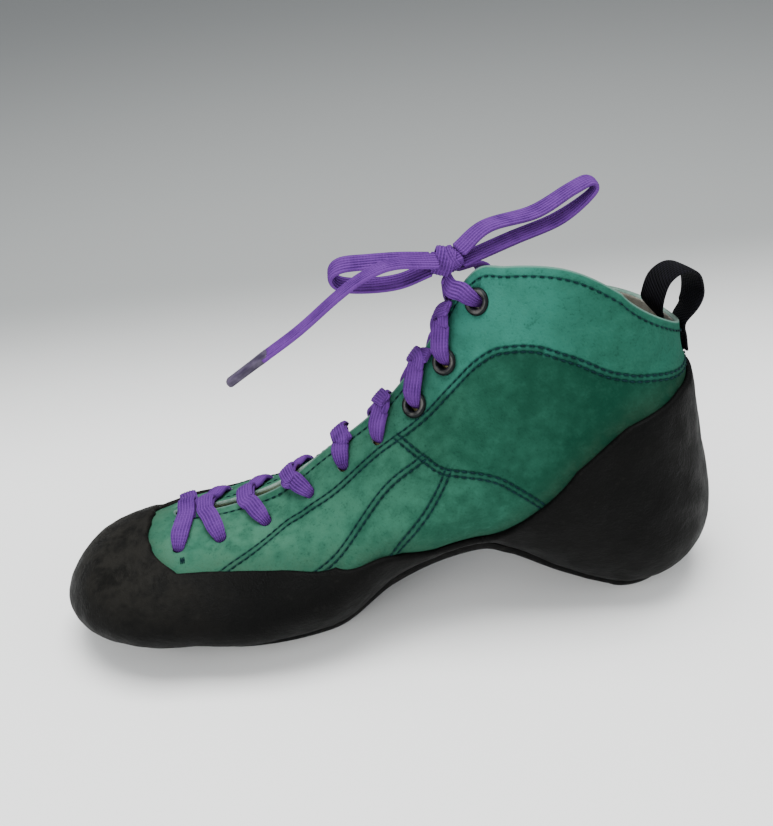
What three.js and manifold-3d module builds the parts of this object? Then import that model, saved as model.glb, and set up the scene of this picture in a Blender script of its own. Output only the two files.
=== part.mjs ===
import * as THREE from 'three';
import { mergeVertices } from 'three/addons/utils/BufferGeometryUtils.js';
import Module from 'manifold-3d';

// A climbing shoe for the left foot, in millimetres.
// X runs from heel to toe, Y to the wearer's outer side, Z up.
// The origin lies on the floor below the turning point of the heel.

// Main sizes of the last
const SHOE_LENGTH = 257;
const BALL_WIDTH = 96;
const HEEL_WIDTH = 70;
const INSTEP_HEIGHT = 92;
const ANKLE_HEIGHT = 140;
const HEEL_REACH = 43;
const TOE_REACH = 47;
const SPINE = SHOE_LENGTH - HEEL_REACH - TOE_REACH;

// Thicknesses and clearances
const GAP = 0.3;
const UPPER_WALL = 2;
const SOLE_THICKNESS = 5.5;
const SOLE_BEVEL = 3.6;
const SOLE_ROUND = 0.3;
const SOLE_SHOULDER = 0.55;
const RAND_THICKNESS = 2.2;
const RAND_EDGE = 1;
const INSOLE_THICKNESS = 1.8;
const INSOLE_INSET = 3.4;
const TONGUE_THICKNESS = 2;

// Ribs of the last, from the toe round to the heel. Each rib rises from the sole to the top edge.
// along: place on the spine, heel to toe, as a share of it; turn: degrees away from square.
// Each side then has lift of the sole, foot, belly, belly height, brow, brow height, top and
// top height of the upper, and the share of the rib that the rubber covers.
// Forefoot widths are shares of BALL_WIDTH and heights of INSTEP_HEIGHT.
const COLUMNS = ['lift', 'foot', 'belly', 'bellyUp', 'brow', 'browUp', 'top', 'topUp', 'rubber'];
const FOREFOOT = [
  [1.000, 90, [.055, .375, .475, .196, .333, .402, .032, .490, .925],
    [.055, .375, .475, .196, .333, .402, .032, .490, .925]],
  [1.000, 60, [.038, .345, .500, .215, .365, .415, .032, .490, .910],
    [.043, .292, .362, .180, .235, .390, .031, .485, .860]],
  [1.000, 30, [.015, .285, .495, .235, .370, .408, .034, .490, .836],
    [.020, .260, .310, .165, .240, .352, .031, .480, .700]],
  [1.000, 0, [.005, .266, .490, .240, .350, .408, .040, .500, .680],
    [.005, .290, .328, .172, .270, .360, .031, .482, .660]],
  [.881, 0, [-.006, .312, .510, .240, .340, .410, .042, .525, .650],
    [-.006, .354, .396, .165, .323, .366, .036, .500, .595]],
  [.762, 0, [-.006, .312, .505, .258, .385, .427, .047, .595, .650],
    [-.006, .385, .427, .165, .350, .385, .052, .555, .600]],
  [.643, 0, [.010, .262, .455, .272, .406, .456, .052, .760, .630],
    [.010, .354, .405, .198, .335, .430, .073, .680, .560]],
  [.524, 0, [.125, .188, .388, .413, .344, .630, .052, .915, .370],
    [.130, .260, .345, .330, .290, .560, .094, .825, .360]],
  [.417, 0, [.215, .177, .380, .490, .336, .700, .042, 1.130, .180],
    [.225, .198, .315, .440, .270, .665, .104, 1.000, .200]],
];
// Ankle widths are shares of HEEL_WIDTH and heights of ANKLE_HEIGHT.
const ANKLE = [
  [.298, 0, [.157, .200, .494, .343, .480, .545, .043, .957, .170],
    [.164, .200, .420, .330, .365, .530, .157, .850, .200]],
  [.226, 0, [.107, .130, .490, .314, .464, .575, .171, 1.000, .360],
    [.114, .171, .410, .300, .365, .560, .186, .880, .340]],
  [.107, 0, [.026, .143, .488, .236, .495, .557, .257, .993, .588],
    [.030, .157, .410, .215, .375, .543, .229, .870, .560]],
  [.000, 0, [-.008, .200, .492, .171, .490, .514, .300, .925, .720],
    [-.008, .171, .415, .165, .390, .500, .257, .836, .700]],
  [.000, 45, [-.002, .286, .552, .171, .486, .514, .343, .829, .790],
    [-.002, .257, .500, .171, .425, .514, .314, .800, .780]],
  [.000, 90, [.008, .400, .579, .200, .457, .543, .386, .771, .800],
    [.008, .400, .579, .200, .457, .543, .386, .771, .800]],
];
const STOPS = [0, .3, .65, 1];
const COLUMNS_PER_RIB = 3;
const RUBBER_RINGS = 5;
const SUEDE_RINGS = 4;
const RAND_CHAMFER = 0.035;
const RAND_RISE = 0.004;
// Steps used where slopes and places are worked out: ribs, share of a rib, and number of halvings
const RIB_STEP = 0.05;
const SHARE_STEP = 0.01;
const HALVINGS = 30;
const ARCH_RIB = 8.85;
const PARTING = 0.02;

// Lace holes, toe to ankle: place on the spine and distance below the throat edge, each side
const HOLES = [
  [1.000, 17, 15], [.905, 15, 14], [.798, 12.6, 13], [.690, 11.6, 12.5], [.607, 11, 12],
  [.524, 11, 12], [.435, 13.5, 13], [.363, 15, 14], [.286, 11, 12],
];
const HOLE_DIAMETER = 4.6;
const EYELET_HOLE_DIAMETER = 6.4;
const EYELET_ROWS = 3;
const EYELET_DIAMETER = 10;
const EYELET_BORE = 4.4;
const EYELET_FLANGE = 0.8;
const EYELET_SEAT = 0.6;
const EYELET_ROUND = 0.3;
const EYELET_SIDES = 12;
const HOLE_SIDES = 8;

// Tongue, insole and webbing loop
const TONGUE_FROM = .97;
const TONGUE_TO = .31;
const TONGUE_REACH = [15, 7, 0];
const TONGUE_CLEARANCE = 0.6;
const TONGUE_STATIONS = 16;
const LOOP_WIDTH = 12;
const LOOP_THICKNESS = 1.4;
const LOOP_TWIST = 22;
const LOOP_RADIUS = 9.3;
const LOOP_CENTRE = [-25, 0, 118.6];
const LOOP_TAIL = 12;
const LOOP_EASE = 1.5;
const LOOP_DIP = 1;
const LOOP_STEPS = 34;
// Degrees round the loop and the share of its twist there
const LOOP_RING = [[222, .4], [185, 1], [135, 1], [90, 1], [45, 1], [-5, 1], [-42, .4]];

// Lace: flat braid, pulled narrower where it crosses the throat
const LACE_WIDTH = 7;
const LACE_THICKNESS = 2.2;
const LACE_CORNER = 0.55;
const STRAP_WIDTH = 6.6;
const STRAP_STEPS = 5;
const STRAP_CLEARANCE = [1, 0.8, 0.8, 0.9, 1, 1.2, 1.6, 1.8, 2.5];
const AGLET_LENGTH = 15;
const AGLET_WIDTH = 4.4;
const AGLET_THICKNESS = 3;
// Where the middle of the lace over each pair of holes lies on the spine
const CROSSINGS = [.985, .940, .840, .730, .600, .497, .408, .350, .318];

// The bow. Each row is a point of the centre line and the way the flat face looks.
const KNOT_CENTRE = [57.2, 0, 139];
const KNOT_SIZE = [11, 11, 11];
const KNOT_FOOT = [57.5, 1, 130.4];
const FRONT_LOOP = [
  [63, .8, 140.6, 0, .39, .92], [73.5, 1, 141.8, 0, .39, .92], [84.5, .5, 142, 0, .39, .92],
  [94, 0, 141.6, .3, .39, .85], [98, -1, 138, 1, 0, .1], [94.5, -2.5, 133.4, .2, -.39, -.9],
  [84.5, -3, 131.6, 0, -.39, -.92], [73.5, -2.6, 132.2, 0, -.39, -.92], [62.8, -1.5, 136.2, 0, -.39, -.92],
];
const BACK_LOOP = [
  [52.1, -.6, 142.7, 0, .3, .95], [41.6, -5, 148.6, .2, .3, .95], [23.3, -12, 149.4, .1, .3, .95],
  [9, -17, 154.6, .4, .3, .85], [1.5, -19, 156.6, -.6, 0, .8], [.4, -19, 152.4, -.8, 0, -.6],
  [13.6, -15.5, 144.8, -.3, -.3, -.9], [32.5, -8, 141.8, -.1, -.3, -.95], [51.4, -1.5, 138.1, -.2, -.3, -.9],
];
const FRONT_END = [
  [61, 5.2, 141.7, 0, .5, .8], [76, 9.5, 144, .1, .2, .95], [86.3, 12, 141.7, .35, .1, .9],
  [96, 14, 136.4, .45, .1, .9], [110.5, 16, 126, .5, .1, .85], [124, 17, 117.6, .5, .1, .85],
];
const BACK_END = [
  [54, -4, 135, -.4, -.2, .9], [44.5, -13, 131.8, -.3, -.5, .8], [40.5, -20.5, 125, -.2, -.8, .6],
  [38.5, -26, 116, -.1, -.95, .3], [37, -28.5, 104, 0, -1, .1], [36, -30, 92, 0, -1, .1],
];

const ribs = [];
function sideRow(row, side, width, height) {
  const values = {};
  COLUMNS.forEach((name, k) => { values[name] = row[side > 0 ? 2 : 3][k]; });
  for (const name of ['foot', 'belly', 'brow', 'top']) values[name] *= width;
  for (const name of ['lift', 'bellyUp', 'browUp', 'topUp']) values[name] *= height;
  const turn = THREE.MathUtils.degToRad(row[1]) * (height === INSTEP_HEIGHT ? 1 : -1);
  return { ...values, x: row[0] * SPINE, angle: side * (Math.PI / 2 - turn) };
}
const outerRows = [...FOREFOOT.map((r) => sideRow(r, 1, BALL_WIDTH, INSTEP_HEIGHT)),
  ...ANKLE.map((r) => sideRow(r, 1, HEEL_WIDTH, ANKLE_HEIGHT))];
const innerRows = [...FOREFOOT.map((r) => sideRow(r, -1, BALL_WIDTH, INSTEP_HEIGHT)),
  ...ANKLE.map((r) => sideRow(r, -1, HEEL_WIDTH, ANKLE_HEIGHT))];
ribs.push(...outerRows, ...innerRows.slice(1, -1).reverse());
const RIB_COUNT = ribs.length;
const HALF = outerRows.length - 1;
const TOE_PIVOT = 3;
const HEEL_PIVOT = HALF - 2;

// Smooth curve through four neighbouring values
function through(a, b, c, d, t) {
  return b + 0.5 * t * (c - a + t * (2 * a - 5 * b + 4 * c - d + t * (3 * (b - c) + d - a)));
}
function ribAt(u) {
  const i = Math.floor(u);
  const t = u - i;
  const pick = (k) => ribs[((i + k) % RIB_COUNT + RIB_COUNT) % RIB_COUNT];
  const near = [pick(-1), pick(0), pick(1), pick(2)];
  const rib = {};
  for (const name of [...COLUMNS, 'x']) rib[name] = through(...near.map((r) => r[name]), t);
  const angles = near.map((r) => r.angle);
  for (let k = 1; k < 4; k += 1) {
    while (angles[k] - angles[k - 1] > Math.PI) angles[k] -= 2 * Math.PI;
    while (angles[k] - angles[k - 1] < -Math.PI) angles[k] += 2 * Math.PI;
  }
  rib.angle = through(...angles, t);
  rib.rubber = THREE.MathUtils.lerp(near[1].rubber, near[2].rubber, t);
  rib.x = THREE.MathUtils.clamp(rib.x, 0, SPINE);
  rib.lift = Math.max(rib.lift, 0);
  return rib;
}
function along(stops, values, s) {
  const k = s < stops[1] ? 0 : s < stops[2] ? 1 : 2;
  const slope = (i) => {
    if (i === 0) return 2 * (values[1] - values[0]) / (stops[1] - stops[0]) - slope(1);
    if (i === 3) return 2 * (values[3] - values[2]) / (stops[3] - stops[2]) - slope(2);
    return (values[i + 1] - values[i - 1]) / (stops[i + 1] - stops[i - 1]);
  };
  const h = stops[k + 1] - stops[k];
  const t = (s - stops[k]) / h;
  const [p, q, m, n] = [values[k], values[k + 1], slope(k) * h, slope(k + 1) * h];
  return p + t * m + t * t * (3 * (q - p) - 2 * m - n) + t * t * t * (2 * (p - q) + m + n);
}
function skin(u, s) {
  const rib = ribAt(u);
  const foot = rib.lift + SOLE_THICKNESS + GAP;
  const reach = along(STOPS, [rib.foot, rib.belly, rib.brow, rib.top], s);
  const height = along(STOPS, [foot, rib.bellyUp, rib.browUp, rib.topUp], s);
  return new THREE.Vector3(rib.x + reach * Math.cos(rib.angle), reach * Math.sin(rib.angle), height);
}
function outward(u, s) {
  const across = skin(u + RIB_STEP, s).sub(skin(u - RIB_STEP, s));
  const up = skin(u, Math.min(s + SHARE_STEP, 1)).sub(skin(u, Math.max(s - SHARE_STEP, 0)));
  return across.cross(up).normalize();
}
function offset(u, s, distance) {
  return skin(u, s).addScaledVector(outward(u, s), distance);
}

// Solids from points and faces
function solid(points, faces) {
  const position = new Float32Array(points.flatMap((p) => [p.x, p.y, p.z]));
  let geometry = new THREE.BufferGeometry();
  geometry.setAttribute('position', new THREE.BufferAttribute(position, 3));
  geometry.setIndex(faces.flat());
  geometry = mergeVertices(geometry, 1e-4);
  const index = geometry.index.array;
  const kept = [];
  for (let k = 0; k < index.length; k += 3) {
    const [a, b, c] = [index[k], index[k + 1], index[k + 2]];
    if (a !== b && b !== c && c !== a) kept.push(a, b, c);
  }
  const at = geometry.attributes.position;
  const [p, q, r] = [new THREE.Vector3(), new THREE.Vector3(), new THREE.Vector3()];
  let volume = 0;
  for (let k = 0; k < kept.length; k += 3) {
    p.fromBufferAttribute(at, kept[k]);
    q.fromBufferAttribute(at, kept[k + 1]);
    r.fromBufferAttribute(at, kept[k + 2]);
    volume += p.dot(q.cross(r));
  }
  if (volume < 0) kept.reverse();
  geometry.setIndex(kept);
  return geometry;
}
function shell(outer, inner, closed) {
  const columns = outer.length;
  const rings = outer[0].length;
  const points = [...outer.flat(), ...inner.flat()];
  const out = (i, j) => (i % columns) * rings + j;
  const inn = (i, j) => columns * rings + out(i, j);
  const faces = [];
  const quad = (a, b, c, d) => faces.push([a, b, c], [a, c, d]);
  for (let i = 0; i < (closed ? columns : columns - 1); i += 1) {
    for (let j = 0; j < rings - 1; j += 1) {
      quad(out(i, j), out(i + 1, j), out(i + 1, j + 1), out(i, j + 1));
      quad(inn(i, j), inn(i, j + 1), inn(i + 1, j + 1), inn(i + 1, j));
    }
    quad(out(i, rings - 1), out(i + 1, rings - 1), inn(i + 1, rings - 1), inn(i, rings - 1));
    quad(inn(i, 0), inn(i + 1, 0), out(i + 1, 0), out(i, 0));
  }
  for (let j = 0; !closed && j < rings - 1; j += 1) {
    const last = columns - 1;
    quad(inn(0, j), out(0, j), out(0, j + 1), inn(0, j + 1));
    quad(out(last, j), inn(last, j), inn(last, j + 1), out(last, j + 1));
  }
  return solid(points, faces);
}

const wasm = await Module();
wasm.setup();
function toManifold(geometry) {
  const bare = geometry.clone();
  bare.deleteAttribute('normal');
  bare.deleteAttribute('uv');
  const merged = mergeVertices(bare, 1e-4);
  const mesh = new wasm.Mesh({
    numProp: 3,
    vertProperties: new Float32Array(merged.attributes.position.array),
    triVerts: new Uint32Array(merged.index.array),
  });
  return new wasm.Manifold(mesh);
}
function fromManifold(body) {
  const mesh = body.getMesh();
  const geometry = new THREE.BufferGeometry();
  geometry.setAttribute('position', new THREE.BufferAttribute(new Float32Array(mesh.vertProperties), 3));
  geometry.setIndex([...mesh.triVerts]);
  return geometry;
}

const shoe = new THREE.Group();
function add(name, geometry, colour, roughness, metalness = 0) {
  const material = new THREE.MeshStandardMaterial({ color: colour, roughness, metalness });
  const mesh = new THREE.Mesh(geometry, material);
  mesh.name = name;
  shoe.add(mesh);
}
const SUEDE = 0x3f9672;
const RUBBER = 0x242221;
const LINING = 0xb39a5a;
const LACE = 0x6c3aa8;
const METAL = 0x3a3d40;
const WEBBING = 0x17171c;
const AGLET = 0x54386f;

const COLUMN_COUNT = RIB_COUNT * COLUMNS_PER_RIB;
const columnAt = (i) => i / COLUMNS_PER_RIB;
const range = (n) => [...Array(n).keys()];

// The place of a rib on one side by its share of the spine
function ribOn(side, share) {
  let low = TOE_PIVOT;
  let high = HEEL_PIVOT;
  for (let k = 0; k < HALVINGS; k += 1) {
    const middle = (low + high) / 2;
    if (ribAt(middle).x > share * SPINE) low = middle;
    else high = middle;
  }
  return side > 0 ? low : RIB_COUNT - low;
}
// The share of a rib that lies a distance below its top edge
function below(u, distance) {
  let s = 1;
  let length = 0;
  const step = SHARE_STEP / 2;
  while (length < distance && s > step) {
    length += skin(u, s).distanceTo(skin(u, s - step));
    s -= step;
  }
  return s;
}

// Shares of a rib where the rings of the upper lie, with one on the edge of the rubber
function ringShares(u) {
  const edge = ribAt(u).rubber;
  return [...range(RUBBER_RINGS + 1).map((j) => edge * j / RUBBER_RINGS),
    ...range(SUEDE_RINGS).map((j) => edge + (1 - edge) * (j + 1) / SUEDE_RINGS)];
}
function lieOn(geometry, u, s, distance) {
  const turn = new THREE.Quaternion().setFromUnitVectors(new THREE.Vector3(0, 1, 0), outward(u, s));
  geometry.applyQuaternion(turn);
  geometry.translate(...offset(u, s, distance).toArray());
  return geometry;
}
const holes = [];
for (const side of [1, -1]) {
  HOLES.forEach(([share, outerInset, innerInset], row) => {
    const u = ribOn(side, share);
    const ringed = row >= HOLES.length - EYELET_ROWS;
    holes.push({ side, row, share, u, s: below(u, side > 0 ? outerInset : innerInset), ringed });
  });
}
function makeUpper() {
  const grid = (distance) => range(COLUMN_COUNT).map((i) => ringShares(columnAt(i))
    .map((s) => offset(columnAt(i), s, distance)));
  let body = toManifold(shell(grid(0), grid(-UPPER_WALL), true));
  for (const { u, s, ringed } of holes) {
    const radius = (ringed ? EYELET_HOLE_DIAMETER : HOLE_DIAMETER) / 2;
    const punch = new THREE.CylinderGeometry(radius, radius, 5 * UPPER_WALL, HOLE_SIDES);
    body = body.subtract(toManifold(lieOn(punch, u, s, 0)));
  }
  return fromManifold(body);
}

// The share of a rib at which its offset skin stands just above the sole
function climb(u, distance) {
  const ahead = skin(u + RIB_STEP, 0).sub(skin(u - RIB_STEP, 0));
  const slope = ahead.z / Math.hypot(ahead.x, ahead.y);
  ahead.setZ(0).normalize();
  const floor = skin(u, 0).z + GAP / 2;
  let low = 0;
  let high = STOPS[1];
  for (let k = 0; k < HALVINGS; k += 1) {
    const middle = (low + high) / 2;
    const place = offset(u, middle, distance);
    const shift = place.clone().sub(skin(u, middle)).dot(ahead);
    if (place.z < floor + slope * shift) low = middle;
    else high = middle;
  }
  return high;
}
function makeRand(from, to) {
  const first = Math.floor(from * COLUMNS_PER_RIB) + 1;
  const last = Math.ceil(to * COLUMNS_PER_RIB) - 1;
  const places = [from, ...range(last - first + 1).map((i) => columnAt(first + i)), to];
  const column = (u, distance, thin) => {
    const edge = ribAt(u).rubber;
    const start = climb(u, distance);
    const shares = range(RUBBER_RINGS).map((j) => Math.max(start, edge * j / RUBBER_RINGS));
    const points = shares.map((s, j) => offset(u, j ? Math.max(s, start + RAND_RISE * j) : start, distance));
    return [...points, offset(u, edge - RAND_CHAMFER * edge, distance), offset(u, edge, thin)];
  };
  return shell(places.map((u) => column(u, GAP + RAND_THICKNESS, GAP + RAND_EDGE)),
    places.map((u) => column(u, GAP, GAP)), false);
}

// A plate over the spine of the last, from one side's ribs to the other's
function plate(profile) {
  const rows = range(COLUMN_COUNT).map((i) => {
    const u = columnAt(i);
    const rib = ribAt(u);
    const straight = THREE.MathUtils.clamp(Math.min(u, RIB_COUNT - u), TOE_PIVOT, HEEL_PIVOT);
    const middle = (ribAt(straight).lift + ribAt(-straight).lift) / 2;
    const edge = offset(u, climb(u, GAP + RAND_THICKNESS), GAP + RAND_THICKNESS);
    const wide = Math.hypot(edge.x - rib.x, edge.y);
    return profile(rib, wide).map(([reach, height]) => {
      const ground = THREE.MathUtils.lerp(middle, rib.lift, Math.min(reach / (wide - SOLE_BEVEL), 1));
      return new THREE.Vector3(rib.x + reach * Math.cos(rib.angle), reach * Math.sin(rib.angle),
        ground + height);
    });
  });
  const rings = rows[0].length;
  const faces = [];
  for (let i = 0; i < COLUMN_COUNT; i += 1) {
    const next = (i + 1) % COLUMN_COUNT;
    for (let j = 0; j < rings - 1; j += 1) {
      const [a, b, c, d] = [i * rings + j, next * rings + j, next * rings + j + 1, i * rings + j + 1];
      if (j < rings / 2 - 1) faces.push([a, b, c], [a, c, d]);
      else faces.push([a, b, d], [b, c, d]);
    }
  }
  return solid(rows.flat(), faces);
}
function makeSole() {
  return plate((rib, wide) => [
    [0, SOLE_THICKNESS], [rib.foot - INSOLE_INSET, SOLE_THICKNESS], [wide, SOLE_THICKNESS],
    [wide - SOLE_ROUND * SOLE_BEVEL, SOLE_SHOULDER * SOLE_THICKNESS], [wide - SOLE_BEVEL, 0], [0, 0],
  ]);
}
function makeInsole() {
  const base = SOLE_THICKNESS + GAP;
  return plate((rib) => [
    [0, base + INSOLE_THICKNESS], [rib.foot - INSOLE_INSET, base + INSOLE_THICKNESS],
    [rib.foot - INSOLE_INSET, base], [0, base],
  ]);
}

function makeTongue() {
  const top = UPPER_WALL + TONGUE_CLEARANCE;
  const row = (share, depth) => {
    const points = [];
    const edges = [];
    for (const side of [1, -1]) {
      const u = ribOn(side, share);
      const half = TONGUE_REACH.map((reach) => offset(u, below(u, reach), -depth));
      edges.push(half[half.length - 1]);
      points.push(side > 0 ? half : half.reverse());
    }
    const middle = edges[0].clone().lerp(edges[1], 0.5);
    return [...points[0], middle, ...points[1]];
  };
  const places = range(TONGUE_STATIONS)
    .map((k) => THREE.MathUtils.lerp(TONGUE_FROM, TONGUE_TO, k / (TONGUE_STATIONS - 1)));
  const under = top + TONGUE_THICKNESS;
  return shell(places.map((p) => row(p, top)), places.map((p) => row(p, under)), false);
}

// A flat section drawn along a route, with its face held square to given directions
class Tape extends THREE.CatmullRomCurve3 {
  constructor(points, faces) {
    super(points, false, 'centripetal');
    this.faces = new THREE.CatmullRomCurve3(faces, false, 'centripetal');
  }

  computeFrenetFrames(steps) {
    const frames = { tangents: [], normals: [], binormals: [] };
    for (let k = 0; k <= steps; k += 1) {
      const tangent = this.getTangentAt(k / steps);
      const face = this.faces.getPoint(this.getUtoTmapping(k / steps));
      const across = new THREE.Vector3().crossVectors(tangent, face).normalize();
      frames.tangents.push(tangent);
      frames.normals.push(across);
      frames.binormals.push(new THREE.Vector3().crossVectors(tangent, across).normalize());
    }
    return frames;
  }
}
function flatSection(width, thickness, sides) {
  const [w, t] = [width / 2, thickness / 2];
  const corner = LACE_CORNER * t;
  const square = [[-w, -t], [w, -t], [w, t], [-w, t]];
  const rounded = [[-w + corner, -t], [w - corner, -t], [w, -corner], [w, corner], [w - corner, t],
    [-w + corner, t], [-w, corner], [-w, -corner]];
  return new THREE.Shape((sides === 4 ? square : rounded).map(([x, y]) => new THREE.Vector2(x, y)));
}
function tape(points, faces, width, thickness, steps, sides = 8) {
  const route = new Tape(points, faces);
  const section = flatSection(width, thickness, sides);
  const extruded = new THREE.ExtrudeGeometry(section, { steps, bevelEnabled: false, extrudePath: route });
  extruded.deleteAttribute('normal');
  extruded.deleteAttribute('uv');
  return mergeVertices(extruded, 1e-4);
}

function makeEyelet(u, s) {
  const bore = EYELET_BORE / 2;
  const barrel = EYELET_HOLE_DIAMETER / 2 - 1.5 * GAP;
  const rim = EYELET_DIAMETER / 2;
  const foot = -UPPER_WALL;
  const profile = [[bore, foot], [barrel, foot], [barrel, EYELET_SEAT], [rim, EYELET_SEAT],
    [rim - EYELET_ROUND, EYELET_SEAT + EYELET_FLANGE], [bore, EYELET_SEAT + EYELET_FLANGE], [bore, foot]];
  const ring = new THREE.LatheGeometry(profile.map(([x, y]) => new THREE.Vector2(x, y)), EYELET_SIDES);
  ring.deleteAttribute('normal');
  ring.deleteAttribute('uv');
  return fromManifold(toManifold(lieOn(ring, u, s, 0)));
}

const holeOf = (side, row) => holes.find((h) => h.side === side && h.row === row);
// One arm of a crossing: from over the hole to the middle of the throat
function makeArm(side, row, share, middle) {
  const hole = holeOf(side, row);
  const clear = STRAP_CLEARANCE[row];
  const rise = clear + LACE_THICKNESS / 2 + (hole.ringed ? EYELET_SEAT : 0);
  const edge = ribOn(side, share);
  const half = (hole.u + edge) / 2;
  const shareHalf = (hole.s + 1) / 2;
  const start = offset(hole.u, hole.s, rise);
  const up = outward(holeOf(1, row).u, 1).add(outward(holeOf(-1, row).u, 1)).normalize();
  if (row === HOLES.length - 1) {
    const free = start.clone().lerp(middle, 0.5).addScaledVector(outward(hole.u, hole.s), clear);
    const looks = [outward(hole.u, hole.s), up, up];
    return tape([start, free, middle], looks, STRAP_WIDTH, LACE_THICKNESS, STRAP_STEPS, 4);
  }
  const points = [start, offset(half, shareHalf, rise), offset(edge, 1, rise), middle];
  const faces = [outward(hole.u, hole.s), outward(half, shareHalf), outward(edge, 1), up];
  return tape(points, faces, STRAP_WIDTH, LACE_THICKNESS, STRAP_STEPS, 4);
}
function makeCrossing(row, share) {
  const rise = STRAP_CLEARANCE[row] + LACE_THICKNESS;
  const tops = [1, -1].map((side) => offset(ribOn(side, share), 1, rise));
  const last = row === HOLES.length - 1;
  const middle = last ? new THREE.Vector3(...KNOT_FOOT) : tops[0].clone().lerp(tops[1], 0.5);
  const arms = [1, -1].map((side) => toManifold(makeArm(side, row, share, middle)));
  return fromManifold(arms[0].add(arms[1]));
}

// The webbing loop: up the back of the heel, round, and down inside the collar
function makePullLoop() {
  const seat = GAP + LOOP_THICKNESS / 2;
  const turn = THREE.MathUtils.degToRad(LOOP_TWIST);
  const out = (s) => [offset(HALF, s, seat), outward(HALF, s)];
  const inside = (s) => [offset(HALF, s, -UPPER_WALL - seat - LOOP_EASE), outward(HALF, s).negate()];
  const ring = ([degrees, twist]) => {
    const angle = THREE.MathUtils.degToRad(degrees);
    const face = new THREE.Vector3(Math.cos(angle) * Math.cos(turn * twist),
      Math.cos(angle) * Math.sin(turn * twist), Math.sin(angle));
    return [face.clone().multiplyScalar(LOOP_RADIUS).add(new THREE.Vector3(...LOOP_CENTRE)), face];
  };
  const tail = [LOOP_TAIL, LOOP_TAIL / 2, LOOP_DIP].map((depth) => below(HALF, depth));
  const stops = [...tail.map(out), ...LOOP_RING.map(ring), ...[...tail].reverse().map(inside)];
  return tape(stops.map((p) => p[0]), stops.map((p) => p[1]), LOOP_WIDTH, LOOP_THICKNESS, LOOP_STEPS, 4);
}

// Free lace: each row holds a point of the centre line and the direction its flat face looks
function makeLace(rows, steps) {
  return tape(rows.map((r) => new THREE.Vector3(r[0], r[1], r[2])),
    rows.map((r) => new THREE.Vector3(r[3], r[4], r[5]).normalize()),
    LACE_WIDTH, LACE_THICKNESS, steps);
}
function makeAglet(rows) {
  const last = rows[rows.length - 1];
  const before = rows[rows.length - 2];
  const end = new THREE.Vector3(last[0], last[1], last[2]);
  const way = end.clone().sub(new THREE.Vector3(before[0], before[1], before[2])).normalize();
  const face = new THREE.Vector3(last[3], last[4], last[5]).normalize();
  const points = [GAP, AGLET_LENGTH / 2, AGLET_LENGTH].map((d) => end.clone().addScaledVector(way, d));
  return tape(points, [face, face, face], AGLET_WIDTH, AGLET_THICKNESS, 2);
}
function makeKnot() {
  const ball = new THREE.SphereGeometry(1, 12, 8);
  ball.scale(...KNOT_SIZE.map((d) => d / 2));
  ball.translate(...KNOT_CENTRE);
  ball.deleteAttribute('normal');
  ball.deleteAttribute('uv');
  return fromManifold(toManifold(ball));
}

add('upper', makeUpper(), SUEDE, 0.95);
add('outsole', makeSole(), RUBBER, 0.8);
add('insole', makeInsole(), LINING, 0.9);
add('tongue', makeTongue(), LINING, 0.85);
add('toe_rand', makeRand(-ARCH_RIB, ARCH_RIB), RUBBER, 0.75);
add('heel_rand', makeRand(ARCH_RIB + PARTING, RIB_COUNT - ARCH_RIB - PARTING), RUBBER, 0.75);
for (const hole of holes.filter((h) => h.ringed)) {
  const side = hole.side > 0 ? 'outer' : 'inner';
  add(`eyelet_${side}_${hole.row + 1}`, makeEyelet(hole.u, hole.s), METAL, 0.4, 0.8);
}
CROSSINGS.forEach((share, row) => {
  add(row === 0 ? 'lace_bar' : `lace_crossing_${row + 1}`, makeCrossing(row, share), LACE, 0.85);
});
add('pull_loop', makePullLoop(), WEBBING, 0.8);
add('lace_knot', makeKnot(), LACE, 0.85);
add('lace_loop_front', makeLace(FRONT_LOOP, 22), LACE, 0.85);
add('lace_loop_back', makeLace(BACK_LOOP, 24), LACE, 0.85);
add('lace_end_front', makeLace(FRONT_END, 14), LACE, 0.85);
add('lace_end_back', makeLace(BACK_END, 12), LACE, 0.85);
add('aglet_front', makeAglet(FRONT_END), AGLET, 0.5);
add('aglet_back', makeAglet(BACK_END), AGLET, 0.5);

export default shoe;
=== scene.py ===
import math

import bmesh
import bpy
import numpy as np
from mathutils import Matrix, Vector, noise


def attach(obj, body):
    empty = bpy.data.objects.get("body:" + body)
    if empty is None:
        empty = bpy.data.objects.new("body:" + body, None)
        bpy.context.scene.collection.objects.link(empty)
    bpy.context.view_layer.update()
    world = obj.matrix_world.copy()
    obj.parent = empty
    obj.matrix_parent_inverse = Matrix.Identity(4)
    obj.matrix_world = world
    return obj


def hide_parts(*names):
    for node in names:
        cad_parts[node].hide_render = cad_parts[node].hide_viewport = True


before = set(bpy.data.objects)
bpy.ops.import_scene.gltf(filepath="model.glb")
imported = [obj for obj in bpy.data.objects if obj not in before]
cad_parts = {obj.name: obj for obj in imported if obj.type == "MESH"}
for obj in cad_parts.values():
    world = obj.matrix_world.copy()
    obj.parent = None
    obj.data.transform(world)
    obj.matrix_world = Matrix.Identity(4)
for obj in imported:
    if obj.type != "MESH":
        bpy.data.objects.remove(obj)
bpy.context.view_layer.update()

# A climbing shoe for the left foot, in metres: X from heel to toe, Y to the outer side, Z up.

# Sizes of the last
SHOE_LENGTH, BALL_WIDTH, HEEL_WIDTH = .257, .096, .070
INSTEP_HEIGHT, ANKLE_HEIGHT = .092, .140
HEEL_REACH, TOE_REACH = .043, .047
SPINE = SHOE_LENGTH - HEEL_REACH - TOE_REACH
GAP = .0003
WALL = .002
SOLE_THICKNESS, SOLE_BEVEL = .0055, .0036
RUBBER_THICKNESS = .0022

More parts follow.
